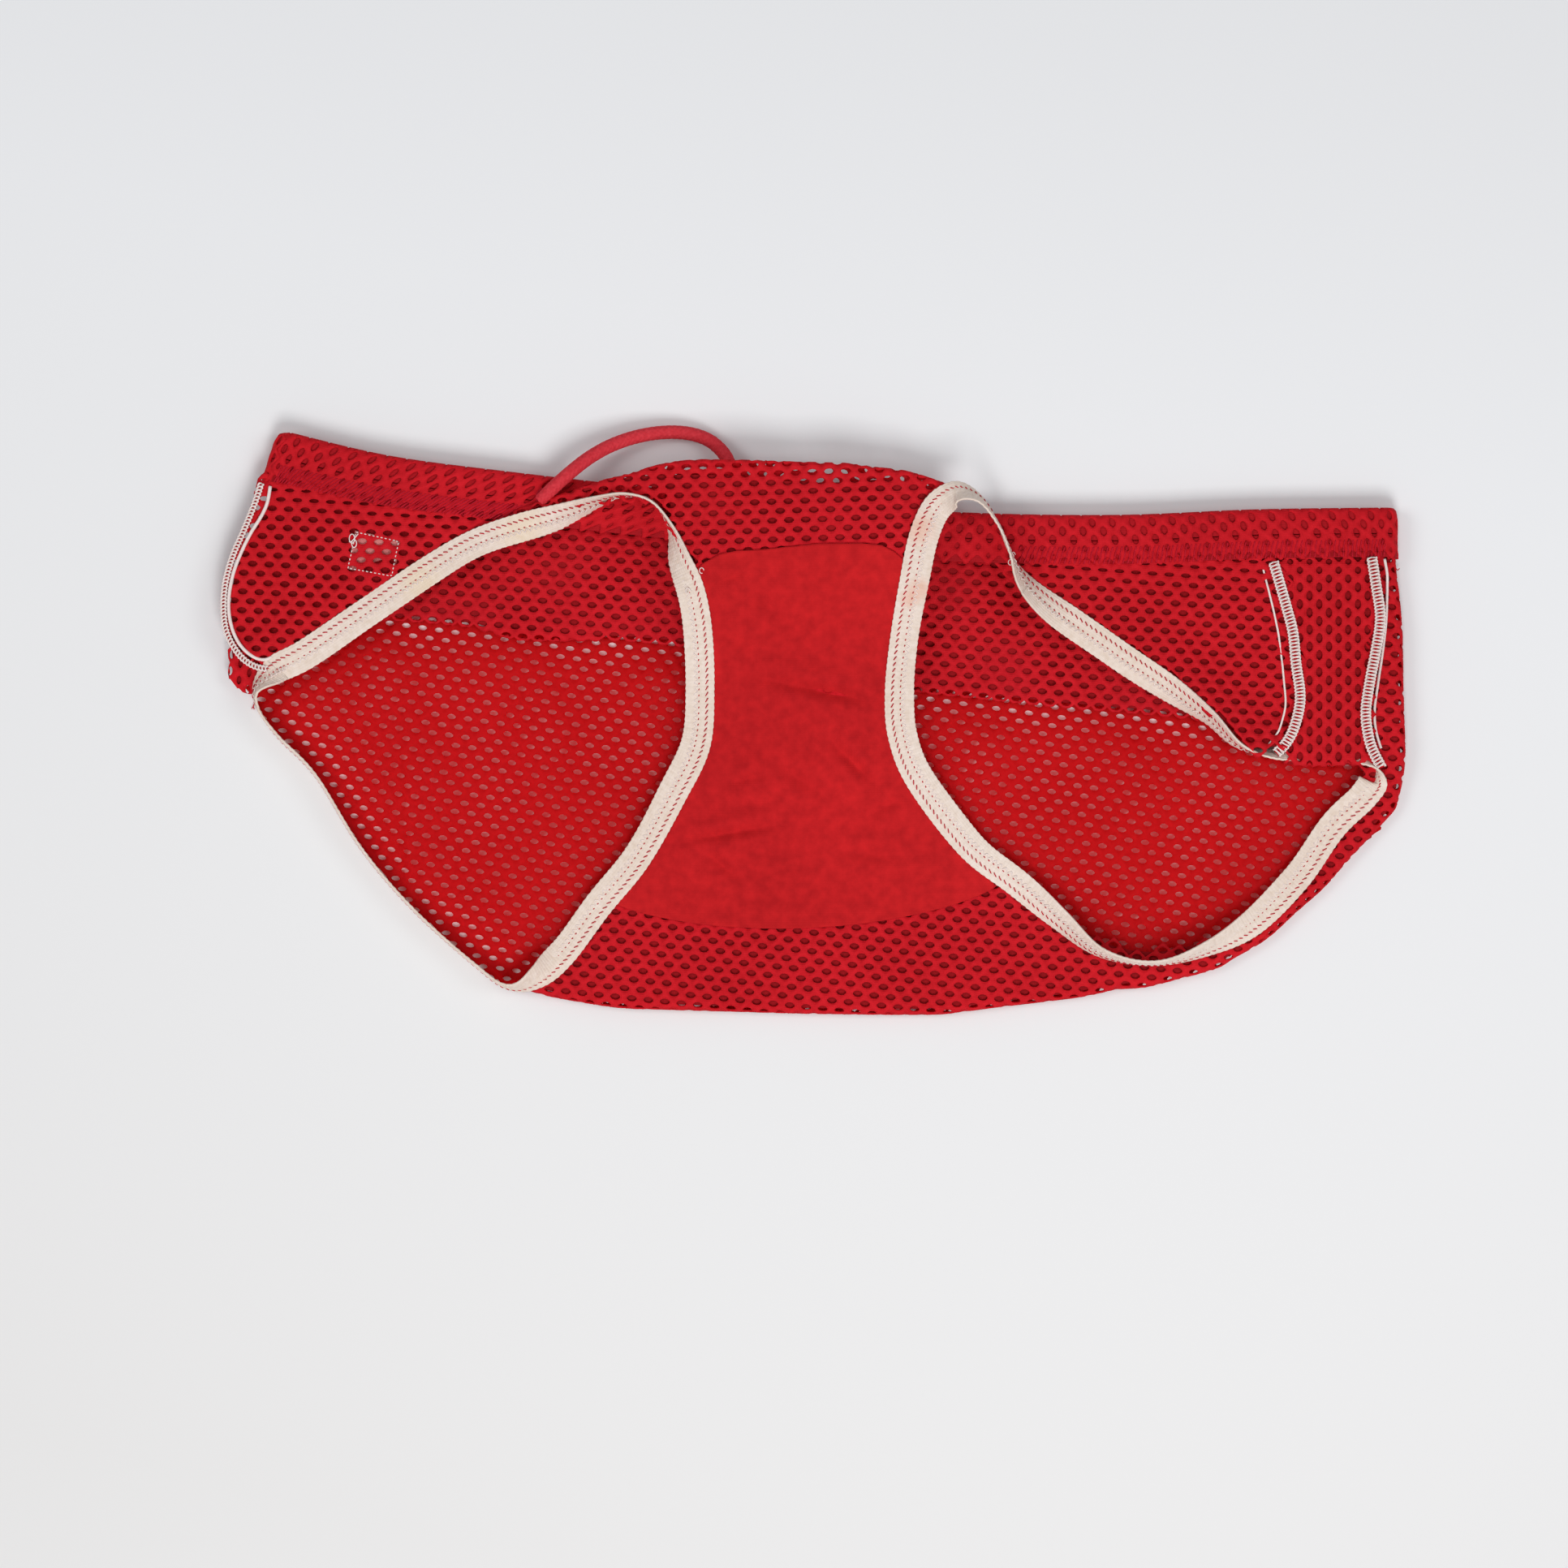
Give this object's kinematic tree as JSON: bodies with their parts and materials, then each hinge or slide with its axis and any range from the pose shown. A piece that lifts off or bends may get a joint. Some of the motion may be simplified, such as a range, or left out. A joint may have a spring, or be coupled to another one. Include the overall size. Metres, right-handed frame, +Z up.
{
  "type": "swim brief",
  "caption": "Mesh swim brief lying flat inside out: casing waistband with drawcord, lined crotch strap, elastic leg edges and sewn side panels.",
  "frame": {"origin": "middle of the laid brief's outline, on the face that it lies on", "axes": "+X across the brief to the viewer's right, +Y from the crotch towards the waistband, +Z up off the table"},
  "size_m": [0.3907, 0.1952, 0.0214],
  "materials": {
    "red_mesh": "open athletic mesh, matt with a light sheen",
    "red_jersey": "fine ribbed jersey, matt",
    "red_elastic": "woven red elastic, matt",
    "cream_elastic": "woven cream elastic, matt",
    "red_cord": "braided polyester cord, soft sheen",
    "pale_thread": "pale overlock and piping thread",
    "red_thread": "red polyester sewing thread",
    "pale_label": "blank woven label seen from behind"
  },
  "bodies": {
    "root": {"back_panel_crotch_wrap": "red_mesh", "back_panel_lower": "red_mesh", "back_panel_pleat": "red_mesh", "back_panel_right_wrap": "red_mesh", "cord_eyelet_left": "red_thread", "cord_eyelet_right": "red_thread", "crotch_lining": "red_jersey", "drawcord": "red_cord", "drawcord_in_casing": "red_cord", "front_panel_bridge": "red_mesh", "front_panel_centre": "red_mesh", "front_panel_left": "red_mesh", "front_panel_right": "red_mesh", "label_patch": "pale_label", "label_stitching": "pale_thread", "leg_elastic_left": "cream_elastic", "leg_elastic_right": "cream_elastic", "leg_stitching_left": "red_thread", "leg_stitching_right": "red_thread", "lining_seam": "red_thread", "loose_thread_left": "red_thread", "loose_thread_right": "pale_thread", "overlock_back_right": "pale_thread", "overlock_front_right": "pale_thread", "overlock_left": "pale_thread", "piping_back_right": "pale_thread", "piping_front_right": "pale_thread", "piping_left": "pale_thread", "side_panel_left": "red_mesh", "side_panel_right": "red_mesh", "waist_casing_back": "red_mesh", "waist_casing_front": "red_mesh", "waist_cover_stitch": "red_thread", "waist_elastic": "red_elastic", "waist_turn_left": "red_mesh", "waist_turn_right": "red_mesh"}
  },
  "joints": []
}
